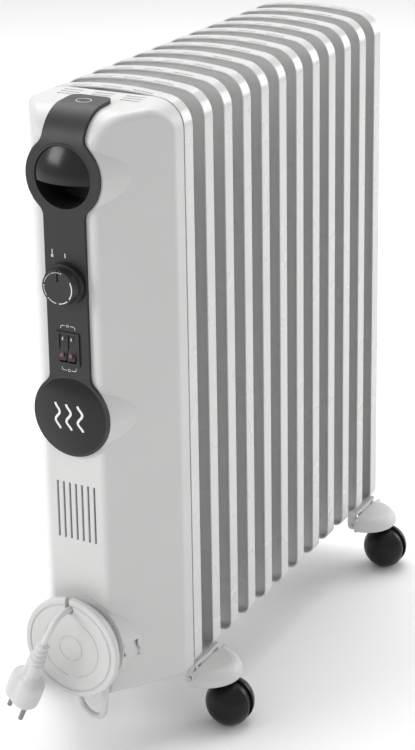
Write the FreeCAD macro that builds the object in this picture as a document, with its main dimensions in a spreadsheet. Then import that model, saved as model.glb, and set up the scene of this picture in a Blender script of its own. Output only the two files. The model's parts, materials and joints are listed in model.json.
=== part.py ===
"""Oil filled radiator on four ball castors, as a parametric assembly.

The frame is +Z up, the control panel faces -Y, and the origin is on the floor under the middle.
"""
import FreeCAD, Part
import math
import os

from FreeCAD import Placement, Rotation, Vector

DOC = FreeCAD.newDocument("OilRadiator")

SIZES = {
    "fin_count": 12,
    "fin_pitch": 38,
    "fin_half_width": 77,
    "fin_bottom": 69,
    "fin_top": 640,
    "rim_width": 15,
    "rim_thick": 1.4,
    "web_thick": 1.2,
    "top_corner": 26.5,
    "bottom_corner": 10,
    "crown_radius": 365,
    "slot_length": 20,
    "slot_width": 2.4,
    "slot_step": 32.4,
    "rib_thick": 7,
    "rib_width": 12,
    "rib_step": 26,
    "header_low": 115,
    "header_high": 590,
    "header_radius": 25,
    "bore_radius": 20,
    "cover_depth": 82,
    "cover_gap": 2,
    "cover_bottom": 66.5,
    "cover_top": 636,
    "cover_wall": 3,
    "face_half_width": 31,
    "front_round": 34,
    "strip_thick": 3.5,
    "band_half_width": 21.5,
    "grip_height": 577,
    "grip_radius": 38.5,
    "badge_height": 350,
    "badge_radius": 40,
    "well_radius": 31,
    "well_depth": 38,
    "pod_radius": 56.5,
    "pod_reach": 36,
    "reel_pod_front": 46.5,
    "reel_pod_back": 53,
    "cover_soft": 8,
    "knob_height": 478,
    "knob_radius": 20,
    "knob_depth": 13,
    "spindle_radius": 3,
    "switch_height": 416,
    "switch_half_width": 12.2,
    "switch_half_height": 15.5,
    "rocker_width": 8,
    "rocker_offset": 4.65,
    "rocker_tilt": 8,
    "vent_count": 7,
    "vent_step": 6.6,
    "vent_width": 2,
    "vent_length": 57,
    "vent_height": 252,
    "reel_height": 119.5,
    "reel_radius": 50.5,
    "reel_disc": 6,
    "reel_reach": 20,
    "flange_radius": 47,
    "lead_hole": 40,
    "hub_radius": 21,
    "cord_diameter": 6,
    "coil_width": 12,
    "coil_layers": 4,
    "foot_first": 26.5,
    "foot_second": 406.5,
    "hinge_x": 70,
    "hinge_height": 52,
    "hinge_pin": 2,
    "wing_radius": 34,
    "wing_top": 64,
    "wing_thick": 3,
    "stem_x": 93,
    "stem_radius": 4,
    "castor_trail": 8,
    "ball_radius": 23.5,
    "running_gap": 0.05,
}

SHEET = DOC.addObject("Spreadsheet::Sheet", "Sizes")
for row, (alias, value) in enumerate(SIZES.items(), start=1):
    SHEET.set("A%d" % row, alias)
    SHEET.set("B%d" % row, str(value))
    SHEET.setAlias("B%d" % row, alias)
DOC.recompute()

ALONG_Y = Rotation(Vector(1, 0, 0), -90)
ALONG_X = Rotation(Vector(0, 1, 0), 90)
NODES = {}


def size(alias):
    """Return one driving dimension from the sheet."""
    return float(SHEET.get(alias))


STACK = (size("fin_count") - 1) * size("fin_pitch") + size("rim_width")
REACH = size("cover_depth") + size("reel_reach")
TAIL = max(STACK, size("foot_second") + size("wing_radius"))
FIRST = REACH - (TAIL + REACH) / 2.0
FACE = FIRST - size("cover_depth")
STRIP = FACE - size("strip_thick")
REEL = FACE - size("reel_reach")


def depth(distance):
    """Return the Y of a point that lies a distance behind the first fin's front edge."""
    return FIRST + distance


def set_or_bind(item, prop, value):
    """Give a property a number, or bind it to an expression when the value is text."""
    if isinstance(value, str):
        item.setExpression(prop, value)
    else:
        setattr(item, prop, value)


def put(item, place, turn=None):
    """Place an object at a point with a rotation."""
    item.Placement = Placement(Vector(*place), turn or Rotation())
    return item


def box(name, spans):
    """Make a box from its (low, high) spans along X, Y and Z."""
    item = DOC.addObject("Part::Box", name)
    for prop, (low, high) in zip(("Length", "Width", "Height"), spans):
        setattr(item, prop, high - low)
    return put(item, [low for low, high in spans])


def cylinder(name, radius, height, place, turn=None):
    """Make a cylinder whose radius and height are numbers or expressions."""
    item = DOC.addObject("Part::Cylinder", name)
    set_or_bind(item, "Radius", radius)
    set_or_bind(item, "Height", height)
    return put(item, place, turn)


def cone(name, low_radius, high_radius, height, place, turn=None):
    """Make a cone frustum whose sizes are numbers or expressions."""
    item = DOC.addObject("Part::Cone", name)
    set_or_bind(item, "Radius1", low_radius)
    set_or_bind(item, "Radius2", high_radius)
    set_or_bind(item, "Height", height)
    return put(item, place, turn)


def sphere(name, radius, place):
    """Make a sphere."""
    item = DOC.addObject("Part::Sphere", name)
    set_or_bind(item, "Radius", radius)
    return put(item, place)


def fuse(name, parts):
    """Join several objects."""
    item = DOC.addObject("Part::MultiFuse", name)
    item.Shapes = list(parts)
    return item


def common(name, parts):
    """Keep what several objects share."""
    item = DOC.addObject("Part::MultiCommon", name)
    item.Shapes = list(parts)
    return item


def cut(name, base, tools):
    """Cut one or more tools from a base."""
    item = DOC.addObject("Part::Cut", name)
    item.Base = base
    item.Tool = tools[0] if len(tools) == 1 else fuse(name + "_tools", tools)
    return item


def coded(name, shape):
    """Make an object from a shape that the Part functions built."""
    item = DOC.addObject("Part::Feature", name)
    item.Shape = shape
    return item


def group(name, parts):
    """Gather separate solids in one node."""
    item = DOC.addObject("Part::Compound", name)
    item.Links = list(parts)
    return item


def node(name, item):
    """Register an object as a sub-part that is written to its own file."""
    item.Label = name
    NODES[name] = item
    return item


def plane_of(body, role):
    """Find one of a body's own origin planes."""
    return next(plane for plane in body.Origin.OriginFeatures if plane.Role == role)


def sketch(body, name, role, geometry, offset):
    """Add a sketch to a body, at an offset along its plane's normal."""
    item = body.newObject("Sketcher::SketchObject", name)
    item.AttachmentSupport = [(plane_of(body, role), "")]
    item.MapMode = "FlatFace"
    item.AttachmentOffset = Placement(Vector(0, 0, offset), Rotation())
    for piece in geometry:
        item.addGeometry(piece, False)
    return item


def pad(body, name, role, geometry, offset, length):
    """Pad a sketch by a number or an expression."""
    profile = sketch(body, name + "_sketch", role, geometry, offset)
    item = body.newObject("PartDesign::Pad", name)
    item.Profile = profile
    set_or_bind(item, "Length", length)
    profile.Visibility = False
    return item


def pocket(body, name, role, geometry, offset, length):
    """Pocket a sketch against its plane's normal."""
    profile = sketch(body, name + "_sketch", role, geometry, offset)
    item = body.newObject("PartDesign::Pocket", name)
    item.Profile = profile
    set_or_bind(item, "Length", length)
    return item


def padded_body(name, role, geometry, offset, length):
    """Make a body from one padded sketch."""
    body = DOC.addObject("PartDesign::Body", name)
    pad(body, name + "_pad", role, geometry, offset, length)
    return body


def turned_body(name, geometry):
    """Make a body by turning a sketch on the XZ plane about its vertical axis."""
    body = DOC.addObject("PartDesign::Body", name)
    profile = sketch(body, name + "_sketch", "XZ_Plane", geometry, 0)
    item = body.newObject("PartDesign::Revolution", name + "_turn")
    item.Profile = profile
    item.ReferenceAxis = (profile, ["V_Axis"])
    item.Angle = 360
    return body


def line(start, end):
    """Return a sketch line."""
    return Part.LineSegment(Vector(start[0], start[1], 0), Vector(end[0], end[1], 0))


def arc(start, middle, end):
    """Return a sketch arc through three points."""
    points = [Vector(p[0], p[1], 0) for p in (start, middle, end)]
    return Part.Arc(*points)


def circle(centre, radius):
    """Return a sketch circle."""
    return Part.Circle(Vector(centre[0], centre[1], 0), Vector(0, 0, 1), radius)


def loop(points):
    """Return the lines of a closed polygon."""
    return [line(a, b) for a, b in zip(points, points[1:] + points[:1])]


def rectangle(low, high):
    """Return the lines of a rectangle between two corners."""
    return loop([low, (high[0], low[1]), high, (low[0], high[1])])


def crowned_outline(half_width, bottom, top, corner, foot, crown):
    """Return an upright outline with rounded feet, rounded shoulders and an arched top."""
    shoulder_x = half_width - corner
    crown_z = top - crown
    shoulder_z = crown_z + math.sqrt((crown - corner) ** 2 - shoulder_x ** 2)
    lean = math.atan2(shoulder_x, shoulder_z - crown_z)
    tangent = (crown * math.sin(lean), crown_z + crown * math.cos(lean))
    half = math.pi / 4 + lean / 2
    elbow = (shoulder_x + corner * math.sin(half), shoulder_z + corner * math.cos(half))
    heel = foot * (1 - math.sqrt(0.5))

    def left(point):
        return (-point[0], point[1])

    side_low = (half_width, bottom + foot)
    side_high = (half_width, shoulder_z)
    base = (half_width - foot, bottom)
    foot_middle = (half_width - heel, bottom + heel)
    return [
        line(left(base), base),
        arc(base, foot_middle, side_low),
        line(side_low, side_high),
        arc(side_high, elbow, tangent),
        arc(tangent, (0, top), left(tangent)),
        arc(left(tangent), left(elbow), left(side_high)),
        line(left(side_high), left(side_low)),
        arc(left(side_low), left(foot_middle), left(base)),
    ]


def fin_outline(inset):
    """Return the fin's outline, moved inwards by an inset."""
    return crowned_outline(
        size("fin_half_width") - inset,
        size("fin_bottom") + inset,
        size("fin_top") - inset,
        size("top_corner") - inset,
        size("bottom_corner") - inset,
        size("crown_radius") - inset,
    )


def rounded_bar(centre, half_width, half_height):
    """Return a vertical bar with round ends."""
    x, z = centre
    low = z - half_height + half_width
    high = z + half_height - half_width
    return [
        line((x + half_width, low), (x + half_width, high)),
        arc((x + half_width, high), (x, high + half_width), (x - half_width, high)),
        line((x - half_width, high), (x - half_width, low)),
        arc((x - half_width, low), (x, low - half_width), (x + half_width, low)),
    ]


def make_fins():
    """Build each fin: a rim band round a web with pressed channels and two header collars."""
    rim = size("rim_width")
    pitch = size("fin_pitch")
    front = pitch / 2 - rim / 2
    middle = (size("header_low") + size("header_high")) / 2
    channel = (size("header_high") - size("header_low")) / 2
    headers = [(0, size("header_low")), (0, size("header_high"))]
    count = int(size("fin_count"))
    for number in range(count):
        name = "fin_%02d" % (number + 1)
        body = DOC.addObject("PartDesign::Body", name)
        rim_edges = fin_outline(0) + fin_outline(size("rim_thick"))
        pad(body, name + "_rim", "XZ_Plane", rim_edges, -rim, "Sizes.rim_width")
        web_edges = fin_outline(size("rim_thick") / 2)
        web_back = -(rim + size("web_thick")) / 2
        pad(body, name + "_web", "XZ_Plane", web_edges, web_back, "Sizes.web_thick")
        ribs = []
        for side in (-1.5, -0.5, 0.5, 1.5):
            bar = (side * size("rib_step"), middle)
            ribs += rounded_bar(bar, size("rib_width") / 2, channel)
        rib_back = -(rim + size("rib_thick")) / 2
        pad(body, name + "_ribs", "XZ_Plane", ribs, rib_back, "Sizes.rib_thick")
        last = number == count - 1
        back = rim - 4 if last else rim + front
        collars = [circle(centre, size("header_radius")) for centre in headers]
        pad(body, name + "_collars", "XZ_Plane", collars, -back, back + front)
        bores = [circle(centre, size("bore_radius")) for centre in headers]
        pocket(body, name + "_bores", "XZ_Plane", bores, front + 1, pitch + rim)
        slots = []
        for side in (-1, 0, 1):
            low = (side * size("slot_step") - size("slot_length") / 2, 3)
            high = (low[0] + size("slot_length"), 3 + size("slot_width"))
            slots += rectangle(low, high)
        pocket(body, name + "_slots", "XY_Plane", slots, size("fin_top") + 1, 7)
        body.setExpression(".Placement.Base.y", "%r + %d * Sizes.fin_pitch" % (FIRST, number))
        node(name, body)


def make_oil_circuit():
    """Build the header end plugs, the filler plug and the electric element."""
    low = size("header_low")
    high = size("header_high")
    front = depth(-(size("fin_pitch") - size("rim_width")) / 2)
    back = depth(STACK - 4)
    ends = [
        cylinder("end_plug_%d" % index, "Sizes.header_radius", 3, (0, back, z), ALONG_Y)
        for index, z in enumerate((low, high))
    ]
    node("header_end_plugs", group("end_plugs", ends))
    cap = cylinder("filler_cap", "Sizes.header_radius", 2, (0, front - 2, high), ALONG_Y)
    head = cylinder("filler_head", 8, 5, (0, front - 7, high), ALONG_Y)
    node("oil_filler_plug", fuse("filler", [cap, head]))
    flange = cylinder("flange_disc", "Sizes.header_radius + 2", 4, (0, front - 4, low), ALONG_Y)
    terminal = cylinder("flange_neck", 12, 6, (0, front - 10, low), ALONG_Y)
    node("element_flange", fuse("flange", [flange, terminal]))
    sheath = 4.0
    spread = 9.0
    length = 330.0
    hairpins = []
    for side in (-1, 1):
        x = side * spread
        legs = [(x, front, low - 6), (x, front + length, low - 6)]
        legs += [(x, front + length + 6, low), (x, front + length, low + 6), (x, front, low + 6)]
        points = [Vector(*p) for p in legs]
        path = Part.Wire([
            Part.LineSegment(points[0], points[1]).toShape(),
            Part.Arc(points[1], points[2], points[3]).toShape(),
            Part.LineSegment(points[3], points[4]).toShape(),
        ])
        ring = Part.Wire(Part.makeCircle(sheath, points[0], Vector(0, 1, 0)))
        hairpins.append(coded("hairpin_%d" % (side + 1), path.makePipeShell([ring], True, False)))
    node("heating_element", group("hairpins", hairpins))


def side_profile(offset):
    """Return the cover's outline as seen from the side, moved outwards by an offset."""
    face = FACE - offset
    bottom = size("cover_bottom") - (20 if offset else 0)
    radius = size("front_round") + offset
    top = size("cover_top") - 2 + offset
    centre_y = FACE + size("front_round")
    bend = radius * (1 - math.sqrt(0.5))
    back = depth(-size("cover_gap"))
    return [
        line((back, bottom), (face, bottom)),
        line((face, bottom), (face, top - radius)),
        arc((face, top - radius), (face + bend, top - bend), (centre_y, top)),
        line((centre_y, top), (back, top + 3)),
        line((back, top + 3), (back, bottom)),
    ]


def plan_outline(inset):
    """Return the cover's outline from above: a narrow face that flares to the fins' width."""
    wide = size("fin_half_width") - inset
    narrow = size("face_half_width") - inset * 0.7
    face = FACE + inset
    shoulder = depth(-18) + inset * 0.3
    back = depth(-size("cover_gap"))
    belly = ((narrow + wide) / 2 + 1, (face + shoulder) / 2 - 1)
    return [
        line((-narrow, face), (narrow, face)),
        arc((narrow, face), belly, (wide, shoulder)),
        line((wide, shoulder), (wide, back)),
        line((wide, back), (-wide, back)),
        line((-wide, back), (-wide, shoulder)),
        arc((-wide, shoulder), (-belly[0], belly[1]), (-narrow, face)),
    ]


def cover_openings():
    """Return the tools that cut the cover's well, bores, vents and slots."""
    tools = [
        cylinder("well_hole", "Sizes.well_radius", 30, (0, FACE - 5, size("grip_height")), ALONG_Y),
        cylinder("knob_hole", 7, 12, (0, FACE - 5, size("knob_height")), ALONG_Y),
        cylinder("gland_hole", 5.3, 12, (-10, depth(-74), size("cover_bottom") - 4)),
    ]
    half = size("switch_half_width")
    tall = size("switch_half_height")
    level = size("switch_height")
    tools.append(box("switch_hole", [(-half, half), (FACE - 5, FACE + 8), (level - tall, level + tall)]))
    for number in range(int(size("vent_count"))):
        x = (number - (size("vent_count") - 1) / 2) * size("vent_step")
        across = (x - size("vent_width") / 2, x + size("vent_width") / 2)
        low = size("vent_height") - size("vent_length") / 2
        upright = (low, low + size("vent_length"))
        tools.append(box("vent_%d" % number, [across, (FACE - 5, FACE + 8), upright]))
    for column in (-33, 0, 33):
        for row in range(3):
            y = depth(-9 - 6 * row)
            upright = (size("cover_top") - 40, size("cover_top") + 9)
            spans = [(column - 10, column + 10), (y - 1, y + 1), upright]
            tools.append(box("outlet_%d_%d" % (column + 33, row), spans))
    for side in (-1, 1):
        for number, tall in enumerate((6, 9, 12)):
            x = side * (45.5 + 3.5 * number)
            level = size("reel_height") - 2 - 4 * number
            spans = [(x - 0.9, x + 0.9), (FACE - 5, FACE + 24), (level - tall, level + tall)]
            tools.append(box("slit_%d_%d" % (side + 1, number), spans))
    return tools


def soften(solid, radius):
    """Round a solid's sharp edges, except those round its back and its underside."""
    back = solid.BoundBox.YMax - 0.01
    low = solid.BoundBox.ZMin + 12
    sharp = []
    for edge in solid.Edges:
        if edge.BoundBox.YMin > back or edge.BoundBox.ZMax < low:
            continue
        point = edge.valueAt((edge.FirstParameter + edge.LastParameter) / 2)
        normals = []
        for face in solid.ancestorsOfType(edge, Part.Face):
            normals.append(face.normalAt(*face.Surface.parameter(point)))
        if math.degrees(normals[0].getAngle(normals[1])) > 4:
            sharp.append(edge)
    return solid.makeFillet(radius, sharp)


def make_cover():
    """Build the white control housing: a flared shell with three round pods."""
    bottom = size("cover_bottom")
    top = size("cover_top")
    wall = size("cover_wall")
    block = padded_body("cover_plan", "XY_Plane", plan_outline(0), bottom, top + 10 - bottom)
    pods = []
    radii = {"grip": ("badge_radius", "pod_radius"), "badge": ("badge_radius", "pod_radius")}
    radii["reel"] = ("reel_pod_front", "reel_pod_back")
    for name, (front, back) in radii.items():
        place = (0, FACE, size(name + "_height"))
        spans = ("Sizes." + front, "Sizes." + back, "Sizes.pod_reach")
        pods.append(cone(name + "_pod", *spans, place, ALONG_Y))
    outline = crowned_outline(size("fin_half_width"), bottom, top + 4, size("top_corner"), 8, 365)
    front_trim = padded_body("cover_front_trim", "XZ_Plane", outline, -depth(-2), size("cover_depth"))
    side_trim = padded_body("cover_side_trim", "YZ_Plane", side_profile(0), -90, 180)
    core = common("cover_core", [block, front_trim, side_trim])
    DOC.recompute()
    soft = coded("cover_soft", soften(core.Shape.Solids[0], size("cover_soft")))
    bumps = common("cover_pods", [fuse("pod_set", pods), front_trim, side_trim])
    outer = fuse("cover_outer", [soft, bumps])
    high = size("cover_top") - 24
    cavity_low = padded_body("cavity_low", "XY_Plane", plan_outline(wall), bottom + wall, high - bottom)
    roof = [(-45, 45), (FACE + size("front_round"), depth(-1)), (high, size("cover_top") - 5)]
    cavity_trim = box("cavity_trim", [(-80, 80), (FACE + wall, depth(10)), (bottom + wall, high)])
    cavity_low = common("cavity_main", [cavity_low, cavity_trim])
    cavity_high = box("cavity_high", roof)
    mouth = [(-73.5, 73.5), (depth(-3), depth(-1)), (bottom + wall, high)]
    tools = [cavity_low, cavity_high, box("cavity_mouth", mouth)] + cover_openings()
    node("cover", cut("cover_shell", outer, tools))


def strip_outline():
    """Return the black strip's prism: a band that swells into two discs."""
    half = size("band_half_width")
    low = size("badge_height")
    high = size("cover_top") + 10
    start = FACE - 12
    run = size("cover_depth") - 16
    band = Part.makeBox(2 * half, run, high - low, Vector(-half, start, low))
    discs = []
    for level, radius in (("grip_height", "grip_radius"), ("badge_height", "badge_radius")):
        centre = Vector(0, start, size(level))
        discs.append(Part.makeCylinder(size(radius), run, centre, Vector(0, 1, 0)))
    shape = band.fuse(discs).removeSplitter()
    necks = []
    for edge in shape.Edges:
        middle = edge.CenterOfMass
        inner = abs(abs(middle.x) - half) < 0.1 and abs(middle.y - start - run / 2) < 0.1
        if inner and middle.z < high - 1:
            necks.append(edge)
    return shape.makeFillet(12, necks)


def make_strip():
    """Build the black control strip, which follows the face and folds over the top edge."""
    outer = padded_body("strip_outer", "YZ_Plane", side_profile(size("strip_thick")), -60, 120)
    inner = padded_body("strip_inner", "YZ_Plane", side_profile(0), -61, 122)
    layer = cut("strip_layer", outer, [inner])
    prism = coded("strip_prism", strip_outline())
    tab_end = depth(-28)
    corner = 9
    half = size("band_half_width")
    trims = [box("tab_trim", [(-80, 80), (tab_end, depth(20)), (400, 700)])]
    for side in (-1, 1):
        edge = sorted((side * (half - corner), side * (half + 2)))
        block = box("tab_block_%d" % (side + 1), [edge, (tab_end - corner, tab_end + 1), (610, 700)])
        place = (side * (half - corner), tab_end - corner, 600)
        round_end = cylinder("tab_round_%d" % (side + 1), corner, 120, place)
        trims.append(cut("tab_corner_%d" % (side + 1), block, [round_end]))
    body = common("strip_body", [layer, prism])
    half_switch = size("switch_half_width")
    tall = size("switch_half_height")
    level = size("switch_height")
    spans = [(-half_switch, half_switch), (FACE - 12, FACE + 4), (level - tall, level + tall)]
    holes = [
        cylinder("strip_well", "Sizes.well_radius", 20, (0, FACE - 12, size("grip_height")), ALONG_Y),
        cylinder("strip_bore", 7, 20, (0, FACE - 12, size("knob_height")), ALONG_Y),
        box("strip_switch", spans),
    ]
    node("control_strip", cut("strip", body, trims + holes))


def dome_cap(name, radius, rise, base_y, level, thick):
    """Return a domed cap that bulges towards -Y from a round base."""
    ball = (radius ** 2 + rise ** 2) / (2 * rise)
    centre = (0, base_y - rise + ball, level)
    outer = sphere(name + "_ball", ball, centre)
    bound = cylinder(name + "_bound", radius, rise + 2, (0, base_y - rise - 1, level), ALONG_Y)
    floor = base_y if thick is None else base_y + thick
    front = box(name + "_front", [(-60, 60), (base_y - 40, floor), (level - 60, level + 60)])
    cap = common(name + "_cap", [outer, bound, front])
    if thick is None:
        return cap
    inner = sphere(name + "_inner", ball - thick, centre)
    return cut(name + "_shell", cap, [inner])


def make_grip():
    """Build the hand recess: a round well in the cover, half closed by a domed lip."""
    level = size("grip_height")
    radius = size("well_radius")
    deep = size("well_depth")
    body = cylinder("well_body", "Sizes.well_radius", deep, (0, STRIP, level), ALONG_Y)
    room = cylinder("well_room", radius - 2, deep, (0, STRIP - 3, level), ALONG_Y)
    node("grip_well", cut("well", body, [room]))
    cap = dome_cap("lip", radius - 2, 8, STRIP + 1, level, 2.5)
    lower = box("lip_lower", [(-60, 60), (STRIP - 30, STRIP + 30), (level - 60, level - 5)])
    node("grip_dome", cut("lip_half", cap, [lower]))


def make_badge():
    """Build the glossy domed disc in the lower circle."""
    cap = dome_cap("badge", 32, 4, STRIP, size("badge_height"), None)
    node("badge_disc", cap)


def make_knob():
    """Build the thermostat, its spindle and the knob."""
    level = size("knob_height")
    front = STRIP - 1 - size("knob_depth")
    skirt = cylinder("knob_skirt", "Sizes.knob_radius", 5, (0, STRIP - 6, level), ALONG_Y)
    crown = cone("knob_crown", 16.5, 18, "Sizes.knob_depth - 5", (0, front, level), ALONG_Y)
    collar = cylinder("knob_collar", 6, 4, (0, STRIP - 1, level), ALONG_Y)
    body = fuse("knob_body", [skirt, crown, collar])
    bore = cylinder("knob_bore", "Sizes.spindle_radius", 16, (0, front + 4, level), ALONG_Y)
    pointer = box("knob_pointer", [(-1, 1), (front - 1, front + 1.2), (level + 6, level + 19)])
    node("thermostat_knob", cut("knob", body, [bore, pointer]))
    spindle = cylinder("spindle_rod", "Sizes.spindle_radius", 29, (0, front + 4, level), ALONG_Y)
    node("thermostat_spindle", spindle)
    case = box("case_block", [(-16, 16), (FACE + 5, FACE + 27), (level - 16, level + 16)])
    seat = cylinder("case_seat", "Sizes.spindle_radius + Sizes.running_gap", 16, (0, FACE, level), ALONG_Y)
    node("thermostat_case", cut("case", case, [seat]))


def make_switches():
    """Build the switch housing with its two rockers on one pivot pin."""
    level = size("switch_height")
    half = size("switch_half_width")
    tall = size("switch_half_height")
    pivot = FACE + 4
    block = box("housing_block", [(-half, half), (STRIP - 1.5, FACE + 20), (level - tall, level + tall)])
    room = 0.4
    tools = []
    pin = cylinder("pivot_rod", 1.25, 22, (-11, pivot, level), ALONG_X)
    node("switch_pivot", pin)
    tools.append(cylinder("pivot_seat", 1.25, 22, (-11, pivot, level), ALONG_X))
    width = size("rocker_width") / 2
    tilt = size("rocker_tilt")
    for side, name in ((-1, "rocker_left"), (1, "rocker_right")):
        x = side * size("rocker_offset")
        across = (x - width - room / 2, x + width + room / 2)
        tools.append(box(name + "_room", [across, (STRIP - 3, FACE + 14), (level - 13.6, level + 13.6)]))
        profile = [(-9.5, 12.3), (-8.2, 0), (-9.5, -12.3), (0, -11.5), (6, -6), (6, 6), (0, 11.5)]
        body = padded_body(name + "_body", "YZ_Plane", loop(profile), x - width, "Sizes.rocker_width")
        hole = cylinder(name + "_hole", "1.25 + Sizes.running_gap", 30, (-15, 0, 0), ALONG_X)
        rocker = cut(name + "_cut", body, [hole])
        put(rocker, (0, pivot, level), Rotation(Vector(1, 0, 0), -tilt))
        node(name, rocker)
    node("switch_housing", cut("housing", block, tools))


def make_reel():
    """Build the cord store: a hub, a back flange and a notched front disc."""
    level = size("reel_height")
    radius = size("reel_radius")
    thick = size("reel_disc")
    drum = size("reel_reach") - thick
    hub = cylinder("hub_drum", "Sizes.hub_radius", drum, (0, REEL + thick, level), ALONG_Y)
    flange = cylinder("hub_flange", "Sizes.flange_radius", 1.6, (0, FACE - 1.6, level), ALONG_Y)
    node("reel_hub", fuse("hub", [hub, flange]))
    edge = radius - 2
    bend = 2 * (1 - math.sqrt(0.5))
    profile = [
        line((0, 0), (radius, 0)),
        line((radius, 0), (radius, thick - 2)),
        arc((radius, thick - 2), (radius - bend, thick - bend), (edge, thick)),
        line((edge, thick), (45, thick)),
        line((45, thick), (44.5, thick - 0.7)),
        line((44.5, thick - 0.7), (43.5, thick - 0.7)),
        line((43.5, thick - 0.7), (43, thick)),
        line((43, thick), (0, thick)),
        line((0, thick), (0, 0)),
    ]
    disc = turned_body("disc_body", profile)
    put(disc, (0, REEL + thick, level), Rotation(Vector(1, 0, 0), 90))
    hole = cylinder("disc_hole", 4.5, 20, (0, REEL - 5, level + size("lead_hole")), ALONG_Y)
    notch = box("disc_notch", [(-4, 0), (REEL - 5, REEL + 15), (level + size("lead_hole"), level + 60)])
    node("reel_disc", cut("disc", disc, [hole, notch]))


def tube(name, points):
    """Sweep the cord's round section along straight runs joined by tangent arcs."""
    radius = size("cord_diameter") / 2
    corners = [Vector(*p) for p in points]
    edges = []
    last = corners[0]
    total = 0.0
    for before, here, after in zip(corners, corners[1:], corners[2:]):
        first = here - before
        second = after - here
        turn = first.getAngle(second)
        reach = 0.45 * min(first.Length, second.Length)
        bend = reach / math.tan(turn / 2)
        first.normalize()
        second.normalize()
        start = here - first * reach
        end = here + second * reach
        inward = (second - first).normalize()
        sagitta = bend / math.cos(turn / 2) - bend
        middle = here + inward * sagitta
        edges.append(Part.LineSegment(last, start).toShape())
        edges.append(Part.Arc(start, middle, end).toShape())
        total += (start - last).Length + bend * turn
        last = end
        print("%s: turn %.0f degrees, radius %.1f mm" % (name, math.degrees(turn), bend))
    edges.append(Part.LineSegment(last, corners[-1]).toShape())
    total += (corners[-1] - last).Length
    path = Part.Wire(edges)
    ring = Part.Wire(Part.makeCircle(radius, corners[0], corners[1] - corners[0]))
    shape = path.makePipeShell([ring], True, False)
    expected = math.pi * radius ** 2 * total
    print("%s: length %.1f mm, volume %.0f of %.0f" % (name, total, shape.Volume, expected))
    return coded(name + "_tube", shape)


def make_cord():
    """Build the mains lead: a hanging loop, the winding on the reel, and the lead to the plug."""
    level = size("reel_height")
    width = size("coil_width")
    front = REEL + size("reel_disc") + 0.2
    outer = size("hub_radius") + 0.3 + size("coil_layers") * size("cord_diameter")
    ring = cylinder("coil_ring", outer, width, (0, front, level), ALONG_Y)
    core = cylinder("coil_core", size("hub_radius") + 0.3, width + 2, (0, front - 1, level), ALONG_Y)
    node("cord_coil", cut("coil", ring, [core]))
    bottom = size("cover_bottom")
    gland_y = depth(-74)
    neck = cylinder("gland_neck", 4.8, 14, (-10, gland_y, bottom))
    lip = cylinder("gland_lip", 7.5, 2, (-10, gland_y, bottom - 2))
    taper = cone("gland_taper", 3.8, 5.2, 4, (-10, gland_y, bottom - 6))
    node("cord_gland", fuse("gland", [neck, lip, taper]))
    loop_points = [
        (-10, gland_y, bottom - 6),
        (-10, gland_y, 48.5),
        (0.5, depth(-76.5), 38.5),
        (15.5, depth(-80.5), 38.5),
        (26, depth(-85.5), 50),
        (28, depth(-88), 68),
        (31, depth(-88), 87.5),
    ]
    node("cord_loop", tube("cord_loop", loop_points))
    lead_points = [
        (0, front, level + size("lead_hole")),
        (0, depth(-116), 162),
        (-4, depth(-129), 152),
        PLUG_START,
    ]
    node("cord_lead", tube("cord_lead", lead_points))


PLUG_AXIS = Vector(-0.41, 0, -0.912).normalize()
PLUG_START = (-11.8, depth(-129), 134.7)


def make_plug():
    """Build the round plug with its ribbed neck and two pins."""
    turn = Rotation(Vector(0, 0, 1), PLUG_AXIS).multiply(Rotation(Vector(0, 0, 1), 20))
    neck = cone("plug_neck", 4.2, 7.5, 24, (0, 0, 0))
    rings = [cylinder("plug_ring_%d" % n, 6 + 0.6 * n, 2.6, (0, 0, 3 + 6 * n)) for n in range(3)]
    grip = box("plug_grip", [(-9, 9), (-7.5, 7.5), (22, 46)])
    shoulder = cone("plug_shoulder", 9, 18, 8, (0, 0, 38))
    head = cylinder("plug_head", 18, 24, (0, 0, 46))
    body = fuse("plug_solid", [neck, grip, shoulder, head] + rings)
    sides = []
    for side in (-1, 1):
        flat = sorted((side * 14.5, side * 20))
        sides.append(box("plug_flat_%d" % (side + 1), [(-20, 20), flat, (36, 71)]))
        slot = sorted((side * 16, side * 19))
        sides.append(box("plug_slot_%d" % (side + 1), [slot, (-3, 3), (52, 71)]))
    plug = cut("plug_cut", body, sides)
    node("plug_body", put(plug, PLUG_START, turn))
    pins = [cylinder("plug_pin_%d" % (s + 1), 2.4, 19, (s * 9.5, 0, 70)) for s in (-1, 1)]
    pair = group("plug_pair", pins)
    node("plug_pins", put(pair, PLUG_START, turn))


def make_bracket(name, middle):
    """Build one cross bracket with an ear pair and a stop at each end."""
    bottom = size("fin_bottom")
    parts = [box(name + "_plate", [(-76.6, 76.6), (middle - 24.5, middle + 24.5), (bottom - 3, bottom)])]
    hinge = size("hinge_x")
    height = size("hinge_height")
    holes = []
    for side in (-1, 1):
        x = side * hinge
        for end in (-1, 1):
            low, high = sorted((middle + end * 21, middle + end * 24.5))
            tag = "%s_%d_%d" % (name, side + 1, end + 1)
            parts.append(box(tag + "_ear", [(x - 5, x + 5), (low, high), (height, bottom - 2)]))
            parts.append(cylinder(tag + "_eye", 5, high - low, (x, low, height), ALONG_Y))
        edge = sorted((side * 72, side * 76.6))
        spans = [edge, (middle - 12, middle + 12), (height + 7, bottom - 2)]
        parts.append(box("%s_stop_%d" % (name, side + 1), spans))
        place = (x, middle - 30, height)
        holes.append(cylinder("%s_hole_%d" % (name, side + 1), "Sizes.hinge_pin", 60, place, ALONG_Y))
    for side in (-1, 1):
        place = (side * 28.5, middle, bottom - 10)
        holes.append(cylinder("%s_bolt_%d" % (name, side + 1), 3, 20, place))
    return cut(name + "_cut", fuse(name + "_body", parts), holes)


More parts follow.
